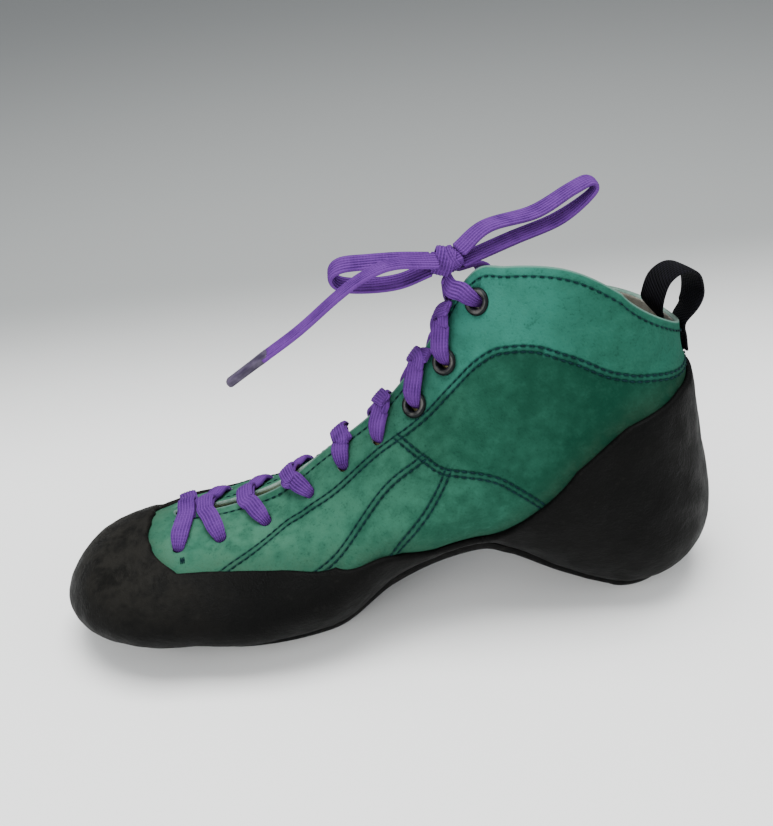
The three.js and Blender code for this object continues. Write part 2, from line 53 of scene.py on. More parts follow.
# Ribs of the last from toe to heel: place on the spine, degrees away from square, and for the
# outer and the inner side lift, foot, belly, belly height, brow, brow height, top, top height
# and the share that the rubber covers. Widths and heights are shares of the sizes above. The
# ribs at the tip of the toe and at the back of the heel have one side.
FOREFOOT = [
    (1.000, 90, (.055, .375, .475, .196, .333, .402, .032, .490, .925)),
    (1.000, 60, (.038, .345, .500, .215, .365, .415, .032, .490, .910),
     (.043, .292, .362, .180, .235, .390, .031, .485, .860)),
    (1.000, 30, (.015, .285, .495, .235, .370, .408, .034, .490, .836),
     (.020, .260, .310, .165, .240, .352, .031, .480, .700)),
    (1.000, 0, (.005, .266, .490, .240, .350, .408, .040, .500, .680),
     (.005, .290, .328, .172, .270, .360, .031, .482, .660)),
    (.881, 0, (-.006, .312, .510, .240, .340, .410, .042, .525, .650),
     (-.006, .354, .396, .165, .323, .366, .036, .500, .595)),
    (.762, 0, (-.006, .312, .505, .258, .385, .427, .047, .595, .650),
     (-.006, .385, .427, .165, .350, .385, .052, .555, .600)),
    (.643, 0, (.010, .262, .455, .272, .406, .456, .052, .760, .630),
     (.010, .354, .405, .198, .335, .430, .073, .680, .560)),
    (.524, 0, (.125, .188, .388, .413, .344, .630, .052, .915, .370),
     (.130, .260, .345, .330, .290, .560, .094, .825, .360)),
    (.417, 0, (.215, .177, .380, .490, .336, .700, .042, 1.130, .180),
     (.225, .198, .315, .440, .270, .665, .104, 1.000, .200)),
]
ANKLE = [
    (.298, 0, (.157, .200, .494, .343, .480, .545, .043, .957, .170),
     (.164, .200, .420, .330, .365, .530, .157, .850, .200)),
    (.226, 0, (.107, .130, .490, .314, .464, .575, .171, 1.000, .360),
     (.114, .171, .410, .300, .365, .560, .186, .880, .340)),
    (.107, 0, (.026, .143, .488, .236, .495, .557, .257, .993, .588),
     (.030, .157, .410, .215, .375, .543, .229, .870, .560)),
    (.000, 0, (-.008, .200, .492, .171, .490, .514, .300, .925, .720),
     (-.008, .171, .415, .165, .390, .500, .257, .836, .700)),
    (.000, 45, (-.002, .286, .552, .171, .486, .514, .343, .829, .790),
     (-.002, .257, .500, .171, .425, .514, .314, .800, .780)),
    (.000, 90, (.008, .400, .579, .200, .457, .543, .386, .771, .800)),
]
STOPS = np.array([0, .3, .65, 1])
ARCH_RIB = 8.85
TOE_PIVOT = 3

# Lace holes, toe to ankle: place on the spine and distance below the throat edge on each side
HOLES = [
    (1.000, .0170, .0150), (.905, .0150, .0140), (.798, .0126, .0130), (.690, .0116, .0125),
    (.607, .0110, .0120), (.524, .0110, .0120), (.435, .0135, .0130), (.363, .0150, .0140),
    (.286, .0110, .0120),
]
FIRST_RINGED_ROW = 6
HOLE_RADIUS, RINGED_HOLE_RADIUS = .0025, .0034
EYELET_RADIUS, EYELET_BORE = .005, .0024
EYELET_SEAT, EYELET_FLANGE = .0006, .0008

# Flat lace and where its middle lies on the spine over each pair of holes
LACE_WIDTH, LACE_THICKNESS, STRAP_WIDTH = .007, .0022, .0066
STRAP_CLEARANCE = [.0010, .0008, .0008, .0009, .0010, .0012, .0016, .0018, .0025]
CROSSINGS = [.985, .940, .840, .730, .600, .497, .408, .350, .318]

# An aglet, and along it the place, width and thickness of its taper
AGLET_LENGTH, AGLET_WIDTH, AGLET_THICKNESS = .015, .0044, .003
AGLET_TAPER = ((-.0015, 1.25, .9), (.001, 1.1, 1), (.004, 1, 1), (AGLET_LENGTH / 2, .96, 1),
               (AGLET_LENGTH, .92, 1))

# The knot: lean, radius, width and shift of each wrap, and the points of the lace inside them
KNOT_CENTRE = (.0572, 0, .139)
KNOT_FOOT = (.0575, .001, .1304)
KNOT_WRAPS = ((.30, .0042, 1.0, .0008), (-.5, .0036, .8, -.0016))
KNOT_CORE = ((.0052, .0012, .0014), (.0018, .0012, .0006), (-.002, 0, .0004), (-.0050, -.0008, .0012))
KNOT_FACE, KNOT_SCALES = (0, .3, .95), (.9, 2.4)

# The bow: points of each centre line and the way the flat face looks
FRONT_LOOP = [
    (.0630, .0008, .1406, 0, .39, .92), (.0735, .0010, .1418, 0, .39, .92),
    (.0845, .0005, .1420, 0, .39, .92), (.0940, 0, .1416, .3, .39, .85),
    (.0980, -.0010, .1380, 1, 0, .1), (.0945, -.0025, .1334, .2, -.39, -.9),
    (.0845, -.0030, .1316, 0, -.39, -.92), (.0735, -.0026, .1322, 0, -.39, -.92),
    (.0628, -.0015, .1362, 0, -.39, -.92),
]
BACK_LOOP = [
    (.0521, -.0006, .1427, 0, .3, .95), (.0416, -.0050, .1486, .2, .3, .95),
    (.0233, -.0120, .1494, .1, .3, .95), (.0090, -.0170, .1546, .4, .3, .85),
    (.0015, -.0190, .1566, -.6, 0, .8), (.0004, -.0190, .1524, -.8, 0, -.6),
    (.0136, -.0155, .1448, -.3, -.3, -.9), (.0325, -.0080, .1418, -.1, -.3, -.95),
    (.0514, -.0015, .1381, -.2, -.3, -.9),
]
FRONT_END = [
    (.0610, .0052, .1417, 0, .5, .8), (.0760, .0095, .1440, .1, .2, .95),
    (.0863, .0120, .1417, .35, .1, .9), (.0960, .0140, .1364, .45, .1, .9),
    (.1105, .0160, .1260, .5, .1, .85), (.1240, .0170, .1176, .5, .1, .85),
]
BACK_END = [
    (.0540, -.0040, .1350, -.4, -.2, .9), (.0445, -.0130, .1318, -.3, -.5, .8),
    (.0405, -.0205, .1250, -.2, -.8, .6), (.0385, -.0260, .1160, -.1, -.95, .3),
    (.0370, -.0285, .1040, 0, -1, .1), (.0360, -.0300, .0920, 0, -1, .1),
]

# Webbing loop at the back of the collar, and the degrees round it with the share of its twist
LOOP_WIDTH, LOOP_THICKNESS, LOOP_TWIST = .012, .0014, 22
LOOP_RADIUS, LOOP_CENTRE = .0093, (-.025, 0, .1186)
LOOP_TAIL, LOOP_EASE, LOOP_STEP = .012, .0015, .0008
LOOP_BENDS = ((222, .4), (185, 1), (135, 1), (90, 1), (45, 1), (-5, 1), (-42, .4))

# Seams of the upper, each as rib and share of the rib. Two rows of stitches run along each, one
# row runs below the edge of the leather, and a bar tack holds it down on each side of the toes.
SEAM_ROWS = (-.00105, .00105)
EDGE_STITCH = .0037
TACK_PLACE, TACK_LENGTH, TACK_PITCH = (3.10, .753), .0032, .0006
SEAMS = {
    "long": [(14, .833), (13.28, .833), (12.61, .840), (12.2, .837), (11.6, .833), (10.9, .843),
             (10.4, .857), (9.8, .860), (9.1, .860), (8.4, .867), (7.4, .873), (6.3, .880),
             (5.4, .867), (4.85, .820), (4.0, .680), (3.6, .600)],
    "cross": [(7.43, .870), (7.88, .77), (8.33, .677), (9.3, .560), (10.28, .463), (10.6, .420)],
    "slant": [(7.86, .77), (7.3, .750), (6.8, .720), (6.3, .690), (5.82, .650), (5.5, .610)],
    "short": [(8.29, .68), (7.95, .590), (7.62, .500), (7.28, .410), (7.0, .330)],
    "inner": [(14, .833), (14.7, .833), (15.4, .840), (16.4, .835), (17.1, .845), (17.6, .860),
              (18.2, .865), (18.9, .865), (19.6, .870), (20.6, .875), (21.7, .870), (22.6, .850),
              (23.4, .790), (24.0, .700), (24.4, .600)],
}

# Creases of the suede: a line of ribs and shares, its depth and its half width
CREASES = [
    ([(6.9, .62), (7.6, .70), (8.3, .80), (8.7, .90)], .0009, .0045),
    ([(7.7, .45), (8.5, .55), (9.3, .66), (9.8, .78)], -.0008, .0060),
    ([(4.3, .72), (4.6, .80), (4.9, .90), (5.0, .97)], .0006, .0035),
    ([(5.0, .70), (5.3, .80), (5.5, .92)], .0005, .0030),
    ([(10.9, .86), (11.4, .92), (12.0, .96)], .0006, .0050),
    ([(9.4, .90), (10.2, .94), (11.0, .93)], -.0005, .0060),
    ([(20.6, .62), (20.0, .72), (19.4, .84)], .0010, .0045),
    ([(23.4, .72), (23.0, .82), (22.8, .93)], .0007, .0035),
    ([(17.0, .70), (17.6, .62), (18.6, .60)], .0008, .0050),
    ([(12.6, .88), (13.3, .92), (14.1, .90)], .0005, .0040),
]


def side_of_last(side):
    ribs = []
    tables = ((FOREFOOT, BALL_WIDTH, INSTEP_HEIGHT, 1), (ANKLE, HEEL_WIDTH, ANKLE_HEIGHT, -1))
    for rows, width, height, way in tables:
        for along, turn, *sides in rows:
            shares = sides[0 if side > 0 else -1]
            scales = (height, width, width, height, width, height, width, height, 1)
            angle = side * (math.pi / 2 - way * math.radians(turn))
            ribs.append([a * b for a, b in zip(shares, scales)] + [along * SPINE, angle])
    return ribs


OUTER_RIBS, INNER_RIBS = side_of_last(1), side_of_last(-1)
RIBS = np.array(OUTER_RIBS + INNER_RIBS[-2:0:-1])
RIB_COUNT = len(RIBS)
HEEL_RIB = len(OUTER_RIBS) - 1
HEEL_PIVOT = HEEL_RIB - 2
LIFT, FOOT, RUBBER, PLACE, ANGLE = 0, 1, 8, 9, 10


def through(a, b, c, d, t):
    """Smooth curve through four neighbouring values."""
    return b + .5 * t * (c - a + t * (2 * a - 5 * b + 4 * c - d + t * (3 * (b - c) + d - a)))


def rib_at(u):
    u = np.asarray(u, float)
    i = np.floor(u).astype(int)
    t = (u - i)[..., None]
    near = [RIBS[(i + k) % RIB_COUNT].copy() for k in (-1, 0, 1, 2)]
    for before, after in zip(near, near[1:]):
        step = (after[..., ANGLE] - before[..., ANGLE] + math.pi) % (2 * math.pi) - math.pi
        after[..., ANGLE] = before[..., ANGLE] + step
    rib = through(*near, t)
    rib[..., RUBBER] = near[1][..., RUBBER] + (near[2][..., RUBBER] - near[1][..., RUBBER]) * t[..., 0]
    rib[..., PLACE] = np.clip(rib[..., PLACE], 0, SPINE)
    rib[..., LIFT] = np.maximum(rib[..., LIFT], 0)
    return rib


def up_the_rib(values, s):
    """Smooth curve through the four values of a rib at STOPS."""
    steps = np.diff(STOPS)
    low = (values[2] - values[0]) / (STOPS[2] - STOPS[0])
    high = (values[3] - values[1]) / (STOPS[3] - STOPS[1])
    slopes = [2 * (values[1] - values[0]) / steps[0] - low, low, high,
              2 * (values[3] - values[2]) / steps[2] - high]
    result = None
    for k in range(3):
        t = (s - STOPS[k]) / steps[k]
        p, q, m, n = values[k], values[k + 1], slopes[k] * steps[k], slopes[k + 1] * steps[k]
        value = p + t * m + t * t * (3 * (q - p) - 2 * m - n) + t ** 3 * (2 * (p - q) + m + n)
        result = value if result is None else np.where(s >= STOPS[k], value, result)
    return result


def skin(u, s):
    """The point of the last at place u round the ribs and share s up the rib."""
    rib = rib_at(u)
    lift, foot, belly, belly_up, brow, brow_up, top, top_up = (rib[..., k] for k in range(8))
    reach = up_the_rib([foot, belly, brow, top], s)
    height = up_the_rib([lift + SOLE_THICKNESS + GAP, belly_up, brow_up, top_up], s)
    x, angle = rib[..., PLACE], rib[..., ANGLE]
    return np.stack([x + reach * np.cos(angle), reach * np.sin(angle), height], -1)


def outward(u, s):
    across = skin(u + .05, s) - skin(u - .05, s)
    up = skin(u, np.minimum(s + .01, 1)) - skin(u, np.maximum(s - .01, 0))
    return unit(np.cross(across, up))


def offset(u, s, distance):
    return skin(u, s) + outward(u, s) * np.asarray(distance)[..., None]


def unit(vectors):
    return vectors / np.linalg.norm(vectors, axis=-1, keepdims=True)


def rib_on(side, share):
    """The place round the ribs, on one side, of a share of the spine."""
    places = np.linspace(TOE_PIVOT, HEEL_PIVOT, 900)
    u = np.interp(-share * SPINE, -rib_at(places)[:, PLACE], places)
    return float(u if side > 0 else RIB_COUNT - u)


def run_along(points):
    """How far along a line each of its points lies."""
    return np.concatenate([[0], np.cumsum(np.linalg.norm(np.diff(points, axis=0), axis=1))])


def read_off(at, run, rows):
    """The rows of a line at given lengths along it."""
    return np.stack([np.interp(at, run, rows[:, k]) for k in range(rows.shape[1])], -1)


def smooth_rows(rows, steps):
    """A smooth curve through rows of values, with so many steps to each."""
    rows = np.vstack([2 * rows[0] - rows[1], rows, 2 * rows[-1] - rows[-2]])
    t = np.linspace(0, len(rows) - 3, steps * (len(rows) - 2))
    i = np.minimum(t.astype(int), len(rows) - 4)
    return through(rows[i], rows[i + 1], rows[i + 2], rows[i + 3], (t - i)[:, None])


RIB_STEPS = 120


def rib_lengths(u):
    """Lengths up a rib, from the sole, at even shares."""
    shares = np.linspace(0, 1, RIB_STEPS)
    return shares, run_along(skin(np.full(RIB_STEPS, float(u)), shares))


def below(u, distance, edge=1.0):
    """The share that lies a distance along the rib below another share."""
    shares, lengths = rib_lengths(u)
    return float(np.interp(np.interp(edge, shares, lengths) - distance, lengths, shares))


# ---- Camera: the photograph's own stand point, turned to the one shoe with a longer lens
CAMERA_AT = Vector((.0910, .3303, .27705))
PHOTO_LOOK = Vector((-.1215, -.7018, -.7019)).normalized()
PHOTO_FOCUS = 750.3
PHOTO_ROLL = .0116
PHOTO_MIDDLE = (386.5, 413)
SHOE_MIDDLE = (291, 232)
FRAME_HEIGHT, FRAME_FOCUS = 826, 1010
SENSOR = 24


def place_camera():
    level = PHOTO_LOOK.cross(Vector((0, 0, 1))).normalized()
    square = level.cross(PHOTO_LOOK)
    right = level * math.cos(PHOTO_ROLL) + square * math.sin(PHOTO_ROLL)
    up = square * math.cos(PHOTO_ROLL) - level * math.sin(PHOTO_ROLL)
    aside = (SHOE_MIDDLE[0] - PHOTO_MIDDLE[0]) / PHOTO_FOCUS
    down = (SHOE_MIDDLE[1] - PHOTO_MIDDLE[1]) / PHOTO_FOCUS
    look = (PHOTO_LOOK + right * aside - up * down).normalized()
    side = look.cross(up).normalized()
    turn = Matrix((side, side.cross(look), -look)).transposed()
    lens = bpy.data.cameras.new("camera")
    lens.sensor_fit = "VERTICAL"
    lens.sensor_height = SENSOR
    lens.lens = FRAME_FOCUS / FRAME_HEIGHT * SENSOR
    lens.clip_start = .01
    camera = bpy.data.objects.new("camera", lens)
    camera.matrix_world = Matrix.Translation(CAMERA_AT) @ turn.to_4x4()
    bpy.context.scene.collection.objects.link(camera)
    bpy.context.scene.camera = camera


place_camera()


# ---- Making meshes

def finish_piece(bm, name, *materials):
    mesh = bpy.data.meshes.new(name)
    bm.to_mesh(mesh)
    bm.free()
    piece = bpy.data.objects.new(name, mesh)
    bpy.context.scene.collection.objects.link(piece)
    for material in materials:
        mesh.materials.append(material)
    for face in mesh.polygons:
        face.use_smooth = True
    return piece


def stand_for(piece, slot, *nodes):
    """The piece is drawn in place of CAD nodes."""
    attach(piece, "root")
    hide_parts(*nodes)


def lay_grid(bm, points, fields=None, weld=1e-6):
    """A grid whose points are laid on rows of places, welded where they meet. Fields go on its points."""
    rows, columns = points.shape[:2]
    layers = {bm.verts.layers.float.get(name) or bm.verts.layers.float.new(name): values.tolist()
              for name, values in (fields or {}).items()}
    verts = bmesh.ops.create_grid(bm, x_segments=columns - 1, y_segments=rows - 1, size=1)["verts"]
    places = points.tolist()
    for v in verts:
        i = round((v.co.x + 1) / 2 * (columns - 1))
        j = round((v.co.y + 1) / 2 * (rows - 1))
        v.co = places[j][i]
        for layer, values in layers.items():
            v[layer] = values[j][i]
    bmesh.ops.remove_doubles(bm, verts=verts, dist=weld)


def grid_piece(name, rows, material, weld=1e-6):
    bm = bmesh.new()
    lay_grid(bm, rows, weld=weld)
    bmesh.ops.recalc_face_normals(bm, faces=bm.faces)
    return finish_piece(bm, name, material)


def cap_ends(rows):
    """Rows of a closed section, with a row more at each end drawn in to its middle."""
    first, last = (np.repeat(rows[k].mean(0)[None], rows.shape[1], 0)[None] for k in (0, -1))
    return np.concatenate([first, rows, last])


def even_steps(points, faces, spacing, widths=None):
    """Points, faces and widths at even steps along a smooth curve through the given points."""
    points, faces = np.array(points, float), np.array(faces, float)
    widths = np.ones((len(points), 2)) if widths is None else np.array(widths, float)
    fine = smooth_rows(np.hstack([points, unit(faces), widths]), 40)
    run = run_along(fine[:, :3])
    at = np.linspace(0, run[-1], max(4, round(run[-1] / spacing)) + 1)
    return read_off(at, run, fine), at


RIB_LINES = 6
HALF_SECTION = 26
END_PUSH, END_DRAW, END_TIP = .3, .72, 1.25


def braid_section(width, thickness, relief):
    """Half rounds joined by faces with lengthwise ribs, as places across and out of the lace."""
    lean = np.linspace(-math.pi / 2, math.pi / 2, HALF_SECTION)
    across = np.sin(lean)
    rise = np.cos(lean) ** .4
    ribs = 1 + relief * (np.cos(RIB_LINES * math.pi * across) - 1) * np.cos(lean) ** .5
    top = np.stack([across * width / 2, rise * ribs * thickness / 2], -1)
    bottom = top[-2:0:-1] * (1, -1)
    return np.vstack([top, bottom, top[:1]])


def sweep_band(bm, stations, run, width, thickness, relief=.12, closed=False):
    """A flat band drawn along stations of point, face and scale, with rounded ends."""
    centres, faces, scales = stations[:, :3], stations[:, 3:6], stations[:, 6:8]
    tangents = unit(np.gradient(centres, axis=0))
    if closed:
        tangents[0] = tangents[-1] = unit(centres[1] - centres[-2])
    sides = unit(np.cross(tangents, faces))
    rises = unit(np.cross(sides, tangents))
    section = braid_section(width, thickness, relief)
    rows = centres[:, None] + section[None, :, :1] * scales[:, None, :1] * sides[:, None] \
        + section[None, :, 1:] * scales[:, None, 1:] * rises[:, None]
    across = np.repeat(section[None, :, 0], len(rows), 0)
    along = np.repeat(run[:, None], section.shape[0], 1)
    if not closed:
        ends = []
        for k, way in ((0, -1), (-1, 1)):
            shift = tangents[k] * way * thickness * END_PUSH
            ends.append(centres[k] + (rows[k] - centres[k]) * END_DRAW + shift)
            ends.append(np.repeat((centres[k] + shift * END_TIP)[None], section.shape[0], 0))
        rows = np.concatenate([ends[1::-1], rows, ends[2:]])
        across, along = (np.pad(values, ((2, 2), (0, 0)), "edge") for values in (across, along))
    lay_grid(bm, rows, {"across": across, "along": along})


LACE_STEP = .0009


def lace_piece(name, routes, material, width, relief=.12, thickness=LACE_THICKNESS, step=LACE_STEP):
    """One or more bands as a piece. Each route is points, faces, scales and whether it closes."""
    bm = bmesh.new()
    for points, faces, scales, closed in routes:
        stations, run = even_steps(points, faces, step, scales)
        sweep_band(bm, stations, run, width, thickness, relief, closed)
    bmesh.ops.recalc_face_normals(bm, faces=bm.faces)
    return finish_piece(bm, name, material)


# ---- Materials

class Wire:
    """A node socket that can be added, taken away and multiplied."""

    def __init__(self, shade, socket):
        self.shade = shade
        self.socket = socket

    def __add__(self, other):
        return self.shade.maths("ADD", self, other)

    def __mul__(self, other):
        return self.shade.maths("MULTIPLY", self, other)

    def __sub__(self, other):
        return self.shade.maths("SUBTRACT", self, other)

    def __rsub__(self, other):
        return self.shade.maths("SUBTRACT", other, self)

    __radd__, __rmul__ = __add__, __mul__


class Shade:
    """One material: its nodes, and the joining of them."""

    def __init__(self, name):
        self.material = bpy.data.materials.new(name)
        self.material.use_nodes = True
        self.tree = self.material.node_tree
        self.tree.nodes.clear()
        self.place = self.node("TexCoord", out="Object")

    def node(self, kind, settings=None, sockets=None, out=0):
        made = self.tree.nodes.new("ShaderNode" + kind)
        for key, value in (settings or {}).items():
            setattr(made, key, value)
        for key, value in (sockets or {}).items():
            if isinstance(value, Wire):
                self.tree.links.new(value.socket, made.inputs[key])
            else:
                made.inputs[key].default_value = value
        return Wire(self, made.outputs[out])

    def maths(self, operation, *values):
        return self.node("Math", {"operation": operation}, dict(enumerate(values)))

    def field(self, name):
        return self.node("Attribute", {"attribute_name": name}, out="Fac")

    def along(self, axis):
        return self.node("SeparateXYZ", None, {0: self.place}, axis)

    def cloud(self, size, detail=3, seed=0.0, place=None):
        """Noise whose lumps are about size across."""
        shift = {"Vector": place or self.place, "Location": (seed, seed * 2, -seed)}
        moved = self.node("Mapping", None, shift)
        return self.node("TexNoise", None, {"Vector": moved, "Scale": 1 / size, "Detail": detail}, "Fac")

    def between(self, wire, low, high, start=0.0, end=1.0):
        """Moves smoothly from start to end while wire goes from low to high."""
        return self.node("MapRange", {"interpolation_type": "SMOOTHSTEP"},
                         {"Value": wire, "From Min": low, "From Max": high, "To Min": start, "To Max": end})

    def line(self, wire, middle, half):
        """One on a line where wire is middle, fading to nothing at half its width away."""
        return self.between(self.maths("ABSOLUTE", wire - middle), 0, half, 1, 0)

    def blend(self, first, second, factor):
        colours = {k: (*v, 1) if isinstance(v, tuple) else v for k, v in ((6, first), (7, second))}
        return self.node("Mix", {"data_type": "RGBA"}, {0: factor, **colours}, 2)

    def dressed(self, colour, roughness, shine, height=None, depth=.001, metal=0):
        """The finished material, with a height drawn as bumps of a depth."""
        sockets = {"Base Color": colour, "Roughness": roughness, "Metallic": metal}
        sockets["Specular IOR Level"] = shine
        if height is not None:
            bump = {"Height": height, "Distance": depth, "Strength": 1.0}
            sockets["Normal"] = self.node("Bump", None, bump)
        surface = self.node("BsdfPrincipled", None, sockets)
        out = self.tree.nodes.new("ShaderNodeOutputMaterial")
        self.tree.links.new(surface.socket, out.inputs["Surface"])
        return self.material


def suede_material():
    s = Shade("suede")
    edge, line = s.field("edge"), s.field("sole_line")
    broad, middle, fine = s.cloud(.050, 3), s.cloud(.013, 4, .3), s.cloud(.0040, 6, .7)
    nap = s.cloud(.0009, 4, 1.1)
    mottle = broad * .35 + middle * .35 + fine * .30
    along = s.along(0)
    colour = s.blend((.0100, .058, .036), (.0190, .092, .060), s.between(mottle, .36, .64))
    # Painted shade: the quarter is made darker, more so toward the heel.
    toward_heel = 1 - s.between(along, .006, .052) * .5
    shaded_quarter = s.field("quarter") * s.between(mottle, .34, .66, .95, .65) * toward_heel
    colour = s.blend(colour, (.0026, .032, .0185), shaded_quarter)
    # Painted light: the collar is made paler, more so toward the throat.
    lit_collar = s.field("collar") * s.between(mottle, .34, .66, .45, .95)
    by_the_throat = s.between(along, .0, .040)
    colour = s.blend(colour, s.blend((.0130, .084, .058), (.0270, .150, .112), by_the_throat), lit_collar)
    # Painted light: the vamp is made lighter in patches.
    lit_vamp = s.field("vamp") * s.between(middle * .6 + fine * .4, .36, .66, .25, .90)
    colour = s.blend(colour, (.0580, .160, .100), lit_vamp)
    grime = s.between(line, .014, .0, 0, 1) * s.between(fine * .5 + middle * .5, .36, .62, .20, .95)
    colour = s.blend(colour, (.0190, .030, .017), grime * .50)
    dust = s.between(nap * .5 + fine * .5, .46, .70, 0, .28) * (1 - s.field("quarter") * .6)
    colour = s.blend(colour, (.0300, .120, .082), dust)
    colour = s.blend(colour, (.0030, .028, .018), s.between(nap * .7 + fine * .3, .46, .30, 0, .42))
    colour = s.blend(colour, (.120, .215, .180), s.between(edge, .0009, .0002) * .7)
    height = nap * .30 + fine * .22
    for name in SEAMS:
        away, near = s.field("seam_" + name), s.field("near_" + name)
        for row in SEAM_ROWS:
            height = height - s.line(away, row, .0008) * near * .45
            colour = s.blend(colour, (.0010, .011, .012), s.line(away, row, .0006) * near * .70)
        # Painted shade: a soft dark band along the middle of each seam.
        colour = s.blend(colour, (.0030, .026, .020), s.line(away, 0, .0032) * near * .28)
    stitch = s.line(edge, EDGE_STITCH, .0007) * s.field("sewn")
    colour = s.blend(colour, (.0015, .015, .015), stitch * .50)
    height = height - stitch * .35
    return s.dressed(colour, s.between(fine, .3, .7, .88, .99), .04, height, .0009)


def rubber_material():
    s = Shade("rubber")
    broad, middle, fine = s.cloud(.040, 4, .2), s.cloud(.009, 5, .5), s.cloud(.0022, 4, .9)
    grit = s.cloud(.0006, 3, 1.7)
    patches = s.between(broad * .5 + middle * .5, .35, .68)
    colour = s.blend((.0008, .0009, .0008), (.0024, .0024, .0022), patches)
    # The top of the toe rubber is made lighter and browner: partly dust rubbed in, partly a painted highlight
    # on the top.
    toe = s.between(s.along(0), .130, .195) * s.between(s.along(2), .019, .042)
    rubbed_and_lit = toe * s.between(middle * .6 + fine * .4, .36, .62, .25, .95)
    colour = s.blend(colour, (.0125, .0118, .0100), rubbed_and_lit)
    colour = s.blend(colour, (.0170, .0140, .0105), toe * s.between(broad, .48, .62, 0, .50))
    colour = s.blend(colour, (.0110, .0108, .0100), s.between(fine * .6 + middle * .4, .57, .72, 0, .40))
    height = middle * .30 + fine * .30 + grit * .25
    return s.dressed(colour, s.between(middle, .3, .7, .50, .68), .06, height, .0011)


def sole_material():
    s = Shade("sole_rubber")
    middle, fine = s.cloud(.010, 5, .4), s.cloud(.0018, 4, .8)
    scuff_place = s.node("Mapping", None, {"Vector": s.place, "Scale": (1, 6, 4)})
    scuff = s.cloud(.006, 5, 2.2, scuff_place)
    colour = s.blend((.0009, .0009, .0009), (.0028, .0027, .0025), s.between(middle, .35, .7))
    colour = s.blend(colour, (.0130, .0120, .0105), s.between(scuff, .54, .70, 0, .5))
    return s.dressed(colour, s.between(fine, .3, .7, .55, .75), .09, middle * .3 + fine * .3, .0008)


def lace_material(name, deep, bright, worn):
    s = Shade(name)
    across, along = s.field("across"), s.field("along")
    rib = s.maths("COSINE", across * (RIB_LINES * 2 * math.pi / LACE_WIDTH))
    pick = s.maths("SINE", along * (2 * math.pi / .0011) + rib * 1.2)
    cloud, fuzz = s.cloud(.006, 3, .4), s.cloud(.0006, 3, 1.3)
    # The rib term paints shade into the grooves between the lengthwise ribs.
    colour = s.blend(deep, bright, s.between(rib * .15 + pick * .03 + cloud * .9, .0, .62))
    colour = s.blend(colour, worn, s.between(fuzz, .58, .78, 0, .25))
    height = rib * .50 + pick * .10 + fuzz * .25
    return s.dressed(colour, .88, .05, height, .00035)


def leather_material(name, pale, soiled, depth):
    s = Shade(name)
    broad, fine = s.cloud(.014, 4, .6), s.cloud(.0014, 4, 1.4)
    grain = {"Vector": s.place, "Scale": 1300}
    crinkle = s.node("TexVoronoi", {"feature": "DISTANCE_TO_EDGE"}, grain, "Distance")
    colour = s.blend(pale, soiled, s.between(broad * .7 + fine * .3, .40, .68))
    crease = s.between(crinkle, .0, .12)
    colour = s.blend(soiled, colour, crease * .3 + .7)
    return s.dressed(colour, s.between(fine, .3, .7, .70, .90), .3, crease * .6 + fine * .4, depth)


def thread_material():
    s = Shade("thread")
    fine = s.cloud(.0008, 3, .9)
    colour = s.blend((.0008, .009, .012), (.0030, .022, .026), s.between(fine, .35, .65))
    return s.dressed(colour, .8, .1, fine, .0002)


def eyelet_material():
    s = Shade("gunmetal")
    cloud, fine = s.cloud(.0030, 4, .2), s.cloud(.0006, 3, .8)
    worn = s.between(s.field("wear") * .7 + cloud * .8, .85, 1.35)
    colour = s.blend((.010, .012, .013), (.110, .105, .100), worn)
    return s.dressed(colour, s.between(cloud, .3, .7, .36, .55), .2, fine, .0001, .7)


def webbing_material():
    s = Shade("webbing")
    across, along = s.field("across"), s.field("along")
    warp = s.maths("SINE", across * (2 * math.pi / .0010))
    weft = s.maths("SINE", along * (2 * math.pi / .0013) + across * (math.pi / .0010))
    weave = warp * .3 + weft * .3 + s.cloud(.004, 3, .6)
    colour = s.blend((.0006, .0006, .0010), (.0045, .0042, .0075), s.between(weave, .30, 1.0))
    return s.dressed(colour, .7, .08, warp * .4 + weft * .5, .0003)


def aglet_material():
    s = Shade("aglet_film")
    cloud = s.cloud(.003, 3, .5)
    colour = s.blend((.026, .018, .040), (.070, .056, .092), s.between(cloud, .35, .7))
    return s.dressed(colour, s.between(cloud, .3, .7, .32, .50), .2, cloud, .0002)


SUEDE, RUBBER_SKIN, SOLE_SKIN = suede_material(), rubber_material(), sole_material()
LACE = lace_material("lace_braid", (.034, .009, .085), (.114, .035, .224), (.175, .085, .305))
LINING = leather_material("cream_lining", (.640, .620, .540), (.420, .400, .320), .0004)
RAW_EDGE = leather_material("raw_edge", (.230, .330, .280), (.100, .190, .150), .0002)
TONGUE_SKIN = leather_material("tongue_leather", (.500, .420, .200), (.230, .190, .085), .0006)
INSOLE_SKIN = leather_material("insole_lining", (.420, .370, .250), (.200, .170, .110), .0003)
THREAD, GUNMETAL, WEBBING, AGLET = thread_material(), eyelet_material(), webbing_material(), aglet_material()


# ---- Free lace: the loops and ends of the bow

def lace_route(rows, width=1.0):
    points = [r[:3] for r in rows]
    faces = [r[3:] for r in rows]
    return points, faces, [(width, 1)] * len(rows), False


def name_cord(rows):
    """Even steps along a cord's centre line; nothing is done with them."""
    stations, run = even_steps([r[:3] for r in rows], [r[3:] for r in rows], .002)


def tie_knot():
    """Two wraps of the lace round the crossing of its own loops."""
    centre = np.array(KNOT_CENTRE)
    routes = []
    for lean, radius, swell, shift in KNOT_WRAPS:
        axis = unit(np.array([math.cos(lean), -.10, math.sin(lean)]))
        side = unit(np.cross(axis, (0, 1, 0)))
        other = np.cross(axis, side)
        turns = np.linspace(0, 2 * math.pi, 17)
        ring = [side * math.cos(a) + other * math.sin(a) for a in turns]
        points = [centre + axis * shift + r * radius for r in ring]
        routes.append((points, ring, [(swell, 1.05)] * len(points), True))
    core = centre + np.array(KNOT_CORE)
    routes.append((core, [KNOT_FACE] * len(core), [KNOT_SCALES] * len(core), False))
    return lace_piece("knot_wraps", routes, LACE, LACE_WIDTH)


knot = tie_knot()
stand_for(knot, "lace", "lace_knot")

